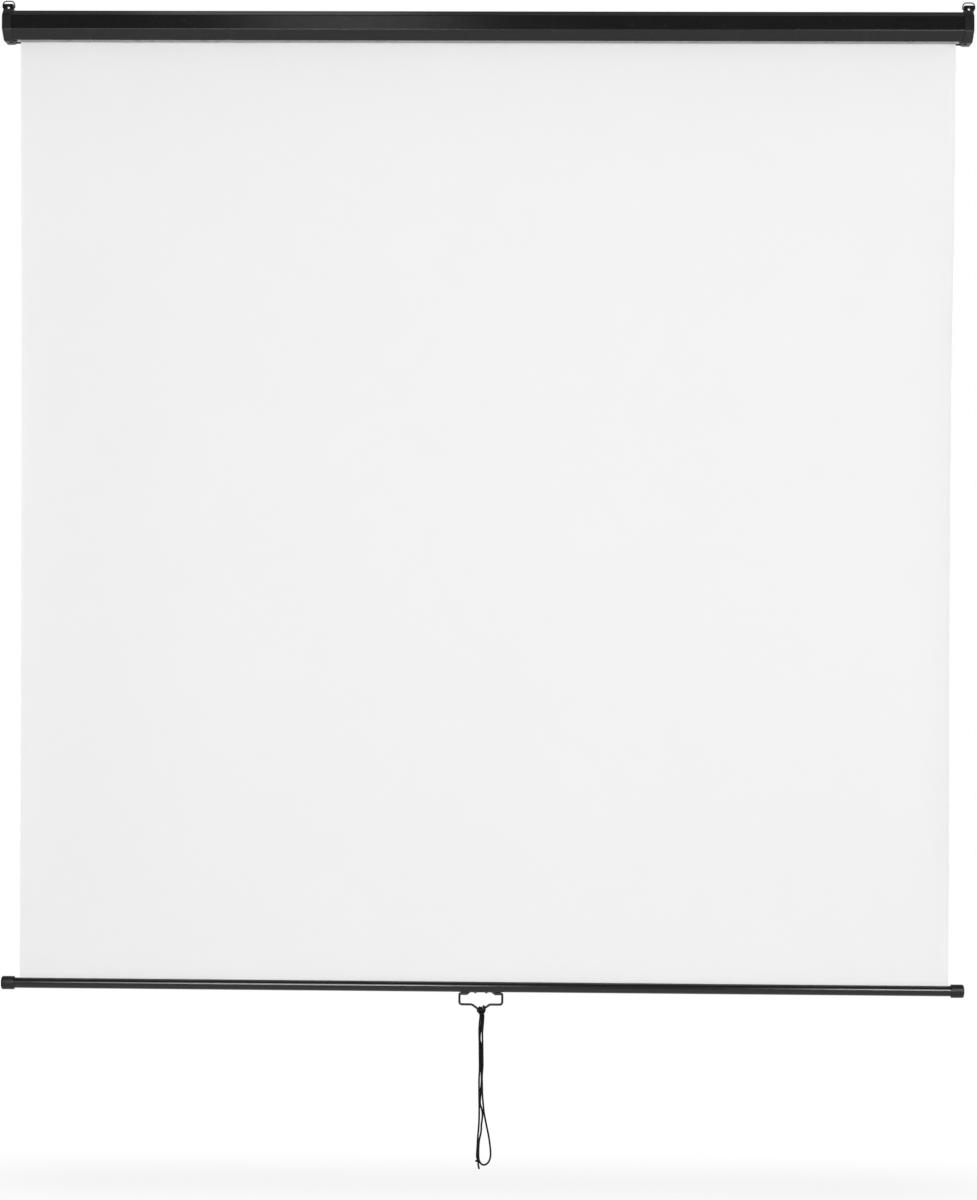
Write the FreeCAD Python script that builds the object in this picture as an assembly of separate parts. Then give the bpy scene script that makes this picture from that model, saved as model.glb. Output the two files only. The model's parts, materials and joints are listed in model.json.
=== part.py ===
import FreeCAD, Part
import math
import os

# Wall-hung roller projection screen, lowered, 180 x 180 cm class. Millimetres.
# X runs along the casing to the viewer's right, Y goes away from the viewer to the wall, Z is up.
# The origin is midway between the two wall-screw holes, on the wall plane.

V = FreeCAD.Vector
SIDES = {"left": -1, "right": 1}
past = 1.0  # how far a cutting shape runs past the face that it cuts

# Screen cloth
screen_width = 1810.0
cloth_thickness = 0.4
exposed_drop = 1816.0
spare_wraps = 2
cloth_gap = 0.1

# Casing, a folded sheet with a slot along its underside
casing_height = 55.0
casing_depth = 57.0
upper_chamfer = 10.5
lower_chamfer = 18.0
sheet = 1.0
fold_radius = 1.2
front_lip_return = 4.0
rear_lip = 3.4
slot_ahead_of_cloth = 4.5
end_room = 20.0

# Moulded end caps
cap_proud = 3.0
cap_overlap = 10.0
cap_end_wall = 5.5
cap_dome = 3.5
cap_dome_inset = 12.0
cap_edge_bevel = 1.2
plug_depth = 16.0
plug_wall = 2.2
plug_clearance = 0.15
boss_wall = 5.5

# Hangers on the caps
hole_above_casing = 15.0
hanger_outset = 6.0
hanger_width = 20.0
hanger_thickness = 8.0
hanger_above_hole = 7.2
hanger_below_hole = 4.0
hanger_strip = 3.0
hanger_corner = 2.5
hanger_flare = 7.0
hanger_flare_drop = 3.0
wall_hole = 5.0
hanger_foot_length = 10.0
hanger_foot_depth = 20.0
ring_wire = 2.2
ring_gap = 0.4
ring_rise = 13.0
ring_pin_depth = 5.0
ring_corner = 7.5
ring_clearance = 0.1

# Screws
screw_shank = 3.5
screw_head = 6.6
screw_head_height = 2.2
screw_length = 9.0
screw_clearance = 0.1
screw_edge_gap = 0.3
screw_head_round = 0.45

# Roller and its ends
roller_diameter = 32.0
roller_wall = 1.0
roller_margin = 3.0
plug_length = 25.0
flange_diameter = 34.0
flange_thickness = 2.5
press_clearance = 0.05
running_clearance = 0.06
side_play = 1.5
idler_pin_diameter = 8.0
bush_wall = 2.0

# Spring motor
shaft_diameter = 10.0
tang_thickness = 5.0
tang_clearance = 0.1
collar_diameter = 17.6
collar_length = 25.0
collar_setback = 8.0
spring_mean_diameter = 20.0
spring_wire = 2.0
spring_turns = 32
spring_pitch = 12.0
anchor_length = 30.0
anchor_spigot = 20.0

# Pawl lock on the spring end
hub_diameter = 18.0
hub_thickness = 4.2
hub_gap = 0.8
pawl_thickness = 3.5
pawl_gap = 0.1
pawl_width = 3.0
pawl_boss = 5.2
pawl_pin_diameter = 3.0
pawl_pin_radius = 13.2
pawl_pin_proud = 0.3
pawl_clearance = 0.35
notch_clearance = 0.5
pawl_throw = 12.0

# Bottom bar
bar_diameter = 20.0
bar_wall = 1.2
bar_slot = 2.0
bar_overhang = 28.0
bar_cap_diameter = 25.6
bar_cap_length = 26.0
bar_cap_wall = 4.0
bar_cap_round = 3.5
welt_diameter = 6.0
welt_slit_depth = 2.5

# Handle clip, wire handle and pull cord
clip_length = 78.0
clip_sheet = 0.8
clip_wrap = 200.0
knuckle_length = 12.0
knuckle_wall = 1.05
knuckle_slope = 7.0
clip_screw_spacing = 21.0
clip_screw_head = 5.0
clip_screw_head_height = 1.5
clip_screw_shank = 2.6
clip_screw_length = 4.0
handle_wire = 4.0
handle_clearance = 0.1
handle_half_width = 41.5
handle_drop = 21.2
handle_dip = 10.6
dip_half_width = 2.4
dip_shoulder = 16.0
handle_pin_depth = 11.0
handle_corner = 5.0
dip_corner = 4.0
cord_diameter = 2.8
cord_bend_share = 0.45
hitch_length = 6.0
hitch_clearance = 0.3
hitch_flare = 0.9
hitch_depth = 8.4
hitch_neck = 10.4
hitch_drop = 13.0
knot_width = 8.4

# Places that follow from the sizes
half_depth = casing_depth / 2
half_height = casing_height / 2
casing_top = -hole_above_casing
casing_bottom = casing_top - casing_height
axis_y = -cap_proud - half_depth
axis_z = casing_top - half_height
casing_end = screen_width / 2 + end_room
cap_inner_edge = casing_end - cap_overlap
cap_outer_rim = casing_end + cap_end_wall
cap_top = casing_top + cap_proud
cap_bottom = casing_bottom - cap_proud
roller_end = screen_width / 2 + roller_margin
roller_radius = roller_diameter / 2
roller_bore = roller_radius - roller_wall
wrap_radius = roller_radius + spare_wraps * cloth_thickness
cloth_offset = wrap_radius + cloth_gap + cloth_thickness / 2
cloth_y = axis_y + cloth_offset
slot_front = cloth_offset - slot_ahead_of_cloth
slot_rear = half_depth - rear_lip
hanger_x = casing_end + hanger_outset
bar_radius = bar_diameter / 2
bar_z = casing_bottom - exposed_drop - bar_radius
bar_end = screen_width / 2 + bar_overhang
handle_wire_radius = handle_wire / 2
knuckle_radius = handle_wire_radius + handle_clearance + knuckle_wall
pivot_z = bar_z - bar_radius - clip_sheet - knuckle_radius + knuckle_wall
dip_z = pivot_z - handle_drop - handle_dip
flange_face = roller_end + flange_thickness
hub_inner = flange_face + hub_gap
hub_outer = hub_inner + hub_thickness
shaft_radius = shaft_diameter / 2


def box(x0, x1, y0, y1, z0, z1):
    """A block between two corners, given in any order."""
    low = V(min(x0, x1), min(y0, y1), min(z0, z1))
    return Part.makeBox(abs(x1 - x0), abs(y1 - y0), abs(z1 - z0), low)


def rod_x(x0, x1, radius, y=axis_y, z=axis_z):
    """A round rod along X."""
    return Part.makeCylinder(radius, abs(x1 - x0), V(min(x0, x1), y, z), V(1, 0, 0))


def sleeve_x(x0, x1, outer, inner, y=axis_y, z=axis_z):
    """A round tube along X."""
    return rod_x(x0, x1, outer, y, z).cut(rod_x(x0, x1, inner, y, z))


def mirrored(shape):
    """The same shape on the other side of the middle plane."""
    return shape.mirror(V(0, 0, 0), V(1, 0, 0))


def on_side(shape, side):
    """A shape modelled on the right, put on the side asked for."""
    return shape if side > 0 else mirrored(shape)


def rounded_path(points, radii):
    """A wire of straight runs, each inner corner rounded by its own radius."""
    edges = []
    start = points[0]
    for before, corner, after, radius in zip(points, points[1:], points[2:], radii):
        back = (before - corner).normalize()
        ahead = (after - corner).normalize()
        half_turn = (math.pi - back.getAngle(ahead)) / 2
        reach = radius * math.tan(half_turn)
        inward = (back + ahead).normalize()
        bulge = radius / math.cos(half_turn) - radius
        first = corner + back * reach
        last = corner + ahead * reach
        if (first - start).Length > 1e-6:
            edges.append(Part.LineSegment(start, first).toShape())
        edges.append(Part.Arc(first, corner + inward * bulge, last).toShape())
        start = last
    edges.append(Part.LineSegment(start, points[-1]).toShape())
    return Part.Wire(edges)


def tube(path, radius):
    """A round solid along a wire."""
    edge = path.Edges[0]
    at = edge.valueAt(edge.FirstParameter)
    along = edge.tangentAt(edge.FirstParameter)
    ring = Part.Wire([Part.Circle(at, along, radius).toShape()])
    return path.makePipeShell([ring], True, False)


def moved_corners(corners, distance, closed=True):
    """A run of (y, z) corners set to its right by distance, with mitred corners."""
    lines = []
    followers = corners[1:] + corners[:1] if closed else corners[1:]
    for (y0, z0), (y1, z1) in zip(corners, followers):
        length = math.hypot(y1 - y0, z1 - z0)
        side = ((z1 - z0) / length * distance, (y0 - y1) / length * distance)
        lines.append(((y0 + side[0], z0 + side[1]), (y1 - y0, z1 - z0), (y1 + side[0], z1 + side[1])))
    found = []
    pairs = zip(lines[-1:] + lines[:-1], lines) if closed else zip(lines, lines[1:])
    for (at, way, _), (other, across, _) in pairs:
        spread = way[0] * across[1] - way[1] * across[0]
        gap = (other[0] - at[0], other[1] - at[1])
        t = (gap[0] * across[1] - gap[1] * across[0]) / spread
        found.append((at[0] + way[0] * t, at[1] + way[1] * t))
    return found if closed else [lines[0][0]] + found + [lines[-1][2]]


def section_corners(grow=0.0):
    """Outer corners of the casing's section about the roller axis, clockwise, set out by grow."""
    corners = [
        (-half_depth + lower_chamfer, -half_height),
        (-half_depth, -half_height + lower_chamfer),
        (-half_depth, half_height - upper_chamfer),
        (-half_depth + upper_chamfer, half_height),
        (half_depth, half_height),
        (half_depth, -half_height),
    ]
    return moved_corners(corners, -grow) if grow else corners


def at_axis(corners, x):
    """Section corners as points in space at x."""
    return [V(x, axis_y + y, axis_z + z) for y, z in corners]


def section_wire(grow, x):
    """The casing's closed outer section at x, set out by grow."""
    points = at_axis(section_corners(grow), x)
    return Part.makePolygon(points + points[:1])


def section_prism(grow, x0, x1, rounding=0.0):
    """A solid of the casing's closed section between two places along X, its long edges rounded."""
    shape = Part.Face(section_wire(grow, x0)).extrude(V(x1 - x0, 0, 0))
    if rounding:
        long_edges = [e for e in shape.Edges if abs(e.tangentAt(e.FirstParameter).x) > 0.9]
        shape = shape.makeFillet(rounding, long_edges)
    return shape


def casing():
    """One folded sheet, open along the slot, drilled for the cap and hanger screws."""
    outside = [(slot_front, -half_height + front_lip_return), (slot_front, -half_height)]
    outside += section_corners() + [(slot_rear, -half_height)]
    inside = moved_corners(outside, sheet, closed=False)
    turns = len(outside) - 2
    outer = rounded_path(at_axis(outside, -casing_end), [fold_radius + sheet] * turns)
    inner = rounded_path(at_axis(inside, -casing_end), [fold_radius] * turns)
    ends = [
        Part.LineSegment(outer.OrderedVertexes[k].Point, inner.OrderedVertexes[k].Point).toShape()
        for k in (0, -1)
    ]
    edges = Part.__sortEdges__(outer.Edges + inner.Edges + ends)
    shell = Part.Face(Part.Wire(edges)).extrude(V(2 * casing_end, 0, 0))
    return shell.cut(Part.Compound(screw_holes()))


def screw_places():
    """Each screw as head seat and direction of travel, on the right-hand side."""
    inner = cap_inner_edge - screw_head / 2 - screw_edge_gap
    outer = (cap_inner_edge + casing_end) / 2
    under_casing = (V(inner, axis_y, casing_bottom), V(0, 0, 1))
    under_cap = (V(outer, axis_y, cap_bottom), V(0, 0, 1))
    foot_y = -cap_proud - hanger_foot_depth / 2
    on_foot = (V(cap_inner_edge - hanger_foot_length / 2, foot_y, cap_top), V(0, 0, -1))
    return {"under_casing": under_casing, "under_cap": under_cap, "on_foot": on_foot}


def screw(seat, way, head, height, shank, length):
    """A pan-head screw whose head rests at seat and whose shank points along way."""
    cap = Part.makeCylinder(head / 2, height, seat - way * height, way)
    rim = [e for e in cap.Edges if abs((e.CenterOfMass - seat).dot(way) + height) < 1e-6]
    cap = cap.makeFillet(height * screw_head_round, rim)
    return cap.fuse(Part.makeCylinder(shank / 2, length, seat, way)).removeSplitter()


def cap_screw(seat, way):
    """The screw used on the caps and the hangers."""
    return screw(seat, way, screw_head, screw_head_height, screw_shank, screw_length)


def screw_holes():
    """Clearance holes for every cap and hanger screw, both sides."""
    holes = []
    for seat, way in screw_places().values():
        hole = Part.makeCylinder(screw_shank / 2 + screw_clearance, screw_length + past, seat, way)
        holes += [hole, mirrored(hole)]
    return holes


def cap_screws():
    """Two self-tapping screws under each end."""
    places = screw_places()
    pair = [cap_screw(*places["under_casing"]), cap_screw(*places["under_cap"])]
    return pair + [mirrored(s) for s in pair]


def hanger_screws():
    """One screw through each hanger foot."""
    one = cap_screw(*screw_places()["on_foot"])
    return [one, mirrored(one)]


def end_cap(side):
    """A cup over the casing's end with a plug inside it, a shallow dome and a bearing boss."""
    rim = section_prism(cap_proud, cap_inner_edge + cap_edge_bevel, cap_outer_rim)
    bevel = Part.makeLoft(
        [
            section_wire(cap_proud - cap_edge_bevel, cap_inner_edge),
            section_wire(cap_proud, cap_inner_edge + cap_edge_bevel),
        ],
        True,
        True,
    )
    dome = Part.makeLoft(
        [
            section_wire(cap_proud, cap_outer_rim),
            section_wire(cap_proud - cap_dome_inset, cap_outer_rim + cap_dome),
        ],
        True,
        True,
    )
    pocket = section_prism(plug_clearance, cap_inner_edge - past, casing_end)
    outer_plug = -sheet - plug_clearance
    plug = section_prism(outer_plug, casing_end - plug_depth, casing_end, fold_radius)
    bend = section_prism(outer_plug - plug_wall, casing_end - plug_depth, casing_end)
    lip_groove = box(
        casing_end - plug_depth, casing_end,
        axis_y + slot_front - sheet - fold_radius - plug_clearance, axis_y + slot_front + plug_clearance,
        casing_bottom, casing_bottom + front_lip_return + plug_clearance,
    )
    shape = rim.fuse([bevel, dome]).cut(pocket).fuse(plug.cut([bend, lip_groove]))
    boss_face = hub_outer + side_play if side < 0 else flange_face + side_play
    inner = shaft_radius if side < 0 else idler_pin_diameter / 2 + bush_wall
    shape = shape.fuse(rod_x(boss_face, casing_end, inner + boss_wall))
    if side < 0:
        thick = tang_thickness / 2 + tang_clearance
        wide = shaft_radius + tang_clearance
        seat = box(boss_face, casing_end, axis_y - thick, axis_y + thick, axis_z - wide, axis_z + wide)
    else:
        seat = rod_x(boss_face, casing_end, inner + press_clearance)
    shape = shape.cut(seat).removeSplitter()
    return on_side(shape, side).cut(Part.Compound(screw_holes()))


def hanger_bracket(side):
    """A lug with the wall-screw hole, flared into a strip and a screwed foot that hold it past the cap."""
    inner = hanger_x - hanger_width / 2
    outer = hanger_x + hanger_width / 2
    outline = [
        (inner - hanger_flare, cap_top), (inner, -hanger_flare_drop), (inner, hanger_above_hole),
        (outer, hanger_above_hole), (outer, -hanger_below_hole), (cap_outer_rim, cap_top),
        (inner - hanger_flare, cap_top),
    ]
    lug = Part.Face(Part.makePolygon([V(x, 0, z) for x, z in outline])).extrude(V(0, -hanger_thickness, 0))
    corners = [
        e for e in lug.Edges
        if abs(e.tangentAt(e.FirstParameter).y) > 0.9 and e.CenterOfMass.z > cap_top / 2
    ]
    lug = lug.makeFillet(hanger_corner, corners)
    foot_end = cap_inner_edge - 2 * running_clearance
    foot_start = foot_end - hanger_foot_length
    foot = box(foot_start, foot_end, -cap_proud - hanger_foot_depth, 0, casing_top, cap_top)
    strip = box(foot_start, inner, -hanger_thickness, 0, cap_top, cap_top + hanger_strip)
    shape = lug.fuse([foot, strip]).removeSplitter()
    depth = hanger_thickness + 2 * past
    shape = shape.cut(Part.makeCylinder(wall_hole / 2, depth, V(hanger_x, past, 0), V(0, -1, 0)))
    pin_hole = ring_wire / 2 + ring_clearance
    deep = ring_pin_depth + ring_clearance
    for edge, inward in ((inner, 1), (outer, -1)):
        shape = shape.cut(rod_x(edge, edge + inward * deep, pin_hole, -hanger_thickness / 2, 0))
    return on_side(shape, side).cut(Part.Compound(screw_holes()))


def hanger_ring(side):
    """A wire arch whose inturned ends pivot in the sides of the lug."""
    y = -hanger_thickness / 2
    leg = hanger_width / 2 + ring_gap + ring_wire / 2
    pin = hanger_width / 2 - ring_pin_depth
    pin_corner = leg - hanger_width / 2
    route = [(-pin, 0), (-leg, 0), (-leg, ring_rise), (leg, ring_rise), (leg, 0), (pin, 0)]
    radii = [pin_corner, ring_corner, ring_corner, pin_corner]
    path = rounded_path([V(hanger_x + x, y, z) for x, z in route], radii)
    return on_side(tube(path, ring_wire / 2), side)


def roller_tube():
    """The tube that the cloth winds on."""
    return sleeve_x(-roller_end, roller_end, roller_radius, roller_bore)


def end_plug(bore):
    """A plug in the right end of the roller, with a flange over the tube's rim."""
    body = rod_x(roller_end - plug_length, roller_end, roller_bore - press_clearance)
    flange = rod_x(roller_end, flange_face, flange_diameter / 2)
    hole = rod_x(roller_end - plug_length - past, flange_face + past, bore)
    return body.fuse(flange).cut(hole).removeSplitter()


def pawl_pivots():
    """Each pawl's name with the place of its pivot about the roller axis."""
    return {"upper": (0.0, pawl_pin_radius), "lower": (0.0, -pawl_pin_radius)}


def pawl_pins():
    """The two pivot pins, carried by the flange of the spring-end plug."""
    return [
        rod_x(
            -roller_end - press_clearance,
            -hub_inner - pawl_gap - pawl_thickness - pawl_pin_proud,
            pawl_pin_diameter / 2,
            axis_y + y,
            axis_z + z,
        )
        for y, z in pawl_pivots().values()
    ]


def spring_plug():
    """The plug at the spring end: it turns on the fixed shaft and carries the pawl pins."""
    shape = mirrored(end_plug(shaft_radius + running_clearance))
    for y, z in pawl_pivots().values():
        seat = rod_x(
            -roller_end, -flange_face - past, pawl_pin_diameter / 2 + press_clearance, axis_y + y, axis_z + z
        )
        shape = shape.cut(seat)
    return shape


def idler_plug():
    """The plug at the idler end, bored for its pin."""
    return end_plug(idler_pin_diameter / 2 + press_clearance)


def idler_pin():
    """The round pin that the idler end turns on."""
    return rod_x(roller_end - plug_length, casing_end - side_play, idler_pin_diameter / 2)


def idler_bush():
    """The plain bearing in the right-hand boss."""
    radius = idler_pin_diameter / 2
    return sleeve_x(flange_face + side_play, casing_end, radius + bush_wall, radius + running_clearance)


def spring_end():
    """Where the rotating anchor's inner face lies along X."""
    return -roller_end + plug_length + collar_setback + spring_turns * spring_pitch


def spring_shaft():
    """The fixed shaft, flattened where the left cap holds it."""
    inner_end = spring_end() + anchor_length - side_play
    shape = rod_x(-casing_end + side_play, inner_end, shaft_radius)
    flat_end = -hub_outer - side_play / 2
    for way in (-1, 1):
        shape = shape.cut(
            box(
                -casing_end, flat_end,
                axis_y + way * tang_thickness / 2, axis_y + way * shaft_diameter,
                axis_z - shaft_diameter, axis_z + shaft_diameter,
            )
        )
    return shape


def spring_collar():
    """The fixed collar on the shaft that holds the spring's first coils."""
    start = -roller_end + plug_length + collar_setback - spring_wire
    return sleeve_x(start, start + collar_length, collar_diameter / 2, shaft_radius + press_clearance)


def spring_anchor():
    """The plug pressed into the tube that holds the spring's last coils and steadies the shaft."""
    start = spring_end()
    body = rod_x(start, start + anchor_length, roller_bore - press_clearance)
    spigot = rod_x(start - anchor_spigot, start, collar_diameter / 2)
    bore_radius = shaft_radius + running_clearance
    bore = rod_x(start - anchor_spigot - past, start + anchor_length + past, bore_radius)
    return body.fuse(spigot).cut(bore).removeSplitter()


def biarc(p0, t0, p1, t1):
    """Two arcs from p0 to p1 that keep the directions t0 and t1."""
    gap = p1 - p0
    both = t0 + t1
    a = 2 * (t0.dot(t1) - 1)
    b = -2 * gap.dot(both)
    reach = (-b - math.sqrt(b * b - 4 * a * gap.dot(gap))) / (2 * a)
    q0 = p0 + t0 * reach
    q1 = p1 - t1 * reach
    joint = (q0 + q1) * 0.5
    arcs = []
    for start, control, end in ((p0, q0, joint), (joint, q1, p1)):
        middle = (start + end) * 0.5
        half = (control - start).getAngle(end - start)
        share = math.tan(half / 2) / math.tan(half)
        arcs.append(Part.Arc(start, middle + (control - middle) * share, end).toShape())
    return arcs


def torsion_spring():
    """The motor spring as one helix of wire, from the fixed collar to the turning anchor."""
    radius = spring_mean_diameter / 2
    start = -roller_end + plug_length + collar_setback
    length = spring_turns * spring_pitch - spring_wire
    steps = spring_turns * 2
    rise = length / (steps * math.pi)

    def place(k):
        angle = math.pi * k
        y = axis_y + radius * math.cos(angle)
        z = axis_z + radius * math.sin(angle)
        at = V(start + length * k / steps, y, z)
        way = V(rise, -radius * math.sin(angle), radius * math.cos(angle))
        return at, way.normalize()

    edges = []
    for k in range(steps):
        middle = place(k + 0.5)
        edges += biarc(*place(k), *middle) + biarc(*middle, *place(k + 1))
    return tube(Part.Wire(edges), spring_wire / 2)


def pawl_outline(inner, tip, outer):
    """Corners of a pawl's arm: from its pivot along to its tip, and from its inner edge to its outer."""
    return [(0.0, inner), (tip, inner), (tip, outer), (0.0, outer)]


def pawl_frame(name, swing):
    """A pawl's pivot, with unit vectors along its arm and away from the hub, at a swing in degrees."""
    y, z = pawl_pivots()[name]
    nose_radius = hub_diameter / 2 + pawl_clearance
    to_axis = math.atan2(-z, -y)
    arm = to_axis - math.asin(nose_radius / pawl_pin_radius) + math.radians(swing)
    along = (math.cos(arm), math.sin(arm))
    outwards = (math.sin(arm), -math.cos(arm))
    return (y, z), along, outwards


def pawl_shape(name, swing, corners, x0, x1):
    """A flat piece in a pawl's own frame, between two places along X."""
    (y, z), along, out = pawl_frame(name, swing)
    points = [(y + along[0] * s + out[0] * t, z + along[1] * s + out[1] * t) for s, t in corners]
    points = at_axis(points, x0)
    return Part.Face(Part.makePolygon(points + points[:1])).extrude(V(x1 - x0, 0, 0))


def pawl_reach():
    """Length of a pawl's arm, which touches the hub's clearance circle with its tip."""
    return math.sqrt(pawl_pin_radius**2 - (hub_diameter / 2 + pawl_clearance) ** 2)


def pawl(name):
    """A locking pawl, drawn clear of the hub."""
    x0 = -hub_inner - pawl_gap
    x1 = x0 - pawl_thickness
    y, z = pawl_pivots()[name]
    arm = pawl_shape(name, 0, pawl_outline(0.0, pawl_reach(), pawl_width), x0, x1)
    boss = rod_x(x0, x1, pawl_boss / 2, axis_y + y, axis_z + z)
    hole = rod_x(x0 + past, x1 - past, pawl_pin_diameter / 2 + running_clearance, axis_y + y, axis_z + z)
    return arm.fuse(boss).cut(hole).removeSplitter()


def ratchet_hub():
    """The fixed notched hub that the pawls drop into."""
    shape = sleeve_x(-hub_inner, -hub_outer, hub_diameter / 2, shaft_radius + press_clearance)
    for name in pawl_pivots():
        space = pawl_outline(-notch_clearance, pawl_reach() + notch_clearance, pawl_pin_radius)
        notch = pawl_shape(name, pawl_throw, space, -hub_inner + past, -hub_outer - past)
        shape = shape.cut(notch)
    return shape


def cloth_wraps():
    """The turns of cloth that stay on the roller when the screen is down."""
    half = screen_width / 2
    return sleeve_x(-half, half, wrap_radius, roller_radius)


def screen_cloth():
    """The hanging cloth, from the back of the roller down into the welt in the bar."""
    half = screen_width / 2
    y0 = cloth_y - cloth_thickness / 2
    return box(-half, half, y0, y0 + cloth_thickness, axis_z, welt_top() - welt_slit_depth)


def welt_top():
    """Height of the welt's top, just under the wall of the bar."""
    return bar_z + bar_radius - bar_wall - press_clearance


def welt_rod():
    """The round welt that keeps the cloth's lower edge in the bar."""
    half = screen_width / 2
    radius = welt_diameter / 2
    rod = rod_x(-half, half, radius, cloth_y, welt_top() - radius)
    wide = cloth_thickness / 2 + press_clearance
    slit = box(-half, half, cloth_y - wide, cloth_y + wide, welt_top() - welt_slit_depth, bar_z + bar_radius)
    return rod.cut(slit)


def bottom_bar():
    """A tube slotted along its top for the cloth, drilled for the clip screws."""
    end = bar_end - bar_cap_wall
    shape = sleeve_x(-end, end, bar_radius, bar_radius - bar_wall, cloth_y, bar_z)
    shape = shape.cut(
        box(-end, end, cloth_y - bar_slot / 2, cloth_y + bar_slot / 2, bar_z, bar_z + bar_diameter)
    )
    return shape.cut(Part.Compound(clip_holes()))


def bar_cap(side):
    """A sleeve over the bar's end, closed and rounded outside."""
    inner = bar_end - bar_cap_length
    body = rod_x(inner, bar_end, bar_cap_diameter / 2, cloth_y, bar_z)
    rim = [e for e in body.Edges if abs(e.CenterOfMass.x - bar_end) < 1e-6]
    body = body.makeFillet(bar_cap_round, rim)
    pocket = rod_x(inner - past, bar_end - bar_cap_wall, bar_radius + press_clearance, cloth_y, bar_z)
    return on_side(body.cut(pocket), side)


def clip_screw_places():
    """Head seats of the clip screws, under the clip."""
    z = bar_z - bar_radius - clip_sheet
    return [V(side * clip_screw_spacing / 2, cloth_y, z) for side in SIDES.values()]


def clip_holes():
    """Clearance holes for the clip screws."""
    radius = clip_screw_shank / 2 + screw_clearance
    return [Part.makeCylinder(radius, clip_screw_length, at, V(0, 0, 1)) for at in clip_screw_places()]


def clip_screws():
    """Two small screws up through the clip into the bar."""
    return [
        screw(at, V(0, 0, 1), clip_screw_head, clip_screw_head_height, clip_screw_shank, clip_screw_length)
        for at in clip_screw_places()
    ]


def handle_clip():
    """A sheet saddle under the bar with a knuckle at each end for the wire handle."""
    half = clip_length / 2
    inner = bar_radius + press_clearance
    outer = bar_radius + clip_sheet
    saddle = Part.makeCylinder(outer, clip_length, V(-half, cloth_y, bar_z), V(1, 0, 0), clip_wrap)
    saddle.rotate(V(0, cloth_y, bar_z), V(1, 0, 0), clip_start_angle())
    for side in SIDES.values():
        start = side * (half - knuckle_length)
        saddle = saddle.fuse(rod_x(start, side * half, knuckle_radius, cloth_y, pivot_z))
    saddle = saddle.cut(rod_x(-clip_length, clip_length, inner, cloth_y, bar_z))
    bore = handle_wire_radius + handle_clearance
    saddle = saddle.cut(rod_x(-clip_length, clip_length, bore, cloth_y, pivot_z))
    for side in SIDES.values():
        saddle = saddle.fuse(knuckle_end(side).cut(rod_x(-clip_length, clip_length, inner, cloth_y, bar_z)))
    return saddle.removeSplitter().cut(Part.Compound(clip_holes()))


def knuckle_end(side):
    """The closed inner end of a knuckle, sloping up to the saddle's sheet."""
    start = side * (clip_length / 2 - knuckle_length)
    end = start - side * knuckle_slope
    seat_z = bar_z - bar_radius
    rings = [
        Part.Wire(Part.makeCircle(radius, V(x, cloth_y, z), V(1, 0, 0)))
        for x, z, radius in ((start, pivot_z, knuckle_radius), (end, seat_z, clip_sheet))
    ]
    return Part.makeLoft(rings, True, True)


def clip_start_angle():
    """Turn about X that centres the saddle's wrap under the bar."""
    probe = Part.makeCylinder(bar_radius, 1, V(0, 0, 0), V(1, 0, 0), clip_wrap)
    middle = probe.CenterOfMass
    return -90.0 - math.degrees(math.atan2(middle.z, middle.y))


def wire_handle():
    """A wire bail with a dip in the middle, its inturned ends in the clip's knuckles."""
    pin = clip_length / 2 - handle_pin_depth
    half = [
        (pin, 0), (handle_half_width, 0), (handle_half_width, -handle_drop),
        (dip_shoulder, -handle_drop), (dip_half_width, -handle_drop - handle_dip),
    ]
    route = half + [(-x, z) for x, z in reversed(half)]
    pin_corner = handle_half_width - clip_length / 2
    turns = [pin_corner, handle_corner, dip_corner, dip_corner]
    points = [V(x, cloth_y, pivot_z + z) for x, z in route]
    return tube(rounded_path(points, turns + turns[::-1]), handle_wire_radius)


# Pull cord. Its routes are (x, y, z) from the middle of the handle's dip, chosen to follow the photograph.
loop_route = [
    (3.4, -2.2, -13.0), (3.5, -2.4, -43.8), (3.9, -2.2, -87.8), (4.0, -2.4, -131.8),
    (4.6, -2.2, -173.8), (5.4, -2.3, -197.8), (8.4, -2.4, -217.8), (13.6, -2.2, -240.8),
    (18.0, -2.0, -263.8), (19.6, -1.8, -278.8), (18.8, -1.7, -288.4), (15.0, -1.5, -296.0),
    (7.6, -1.2, -300.2), (-0.4, -0.2, -297.6), (-3.8, 1.2, -289.8), (-3.7, 2.2, -279.8),
    (-2.8, 2.5, -266.8), (-1.6, 2.6, -253.8), (0.8, 2.4, -237.8), (1.2, 2.6, -217.8),
    (0.8, 2.4, -191.8), (0.6, 2.6, -155.8), (0.4, 2.4, -111.8), (0.5, 2.6, -67.8),
    (0.4, 2.4, -31.8), (0.4, 2.4, -13.0),
]
leg_route = [
    (-3.4, -1.4, -13.0), (-3.3, -1.6, -43.8), (-3.0, -1.4, -87.8), (-3.2, -1.6, -131.8),
    (-3.0, -1.5, -173.8), (-3.3, -1.7, -201.8), (-4.3, -1.8, -228.8), (-5.7, -1.8, -253.8),
    (-7.0, -1.7, -273.8), (-7.4, -1.6, -286.3),
]
tail_route = [(-7.4, -1.6, -294.3), (-6.8, -1.6, -298.3), (-5.6, -1.6, -302.3), (-4.0, -1.7, -305.4)]
knot_at = (-7.4, -1.6, -290.3)


def cord_points(route):
    """A cord's route in space."""
    return [V(x, cloth_y + y, dip_z + z) for x, y, z in route]


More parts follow.
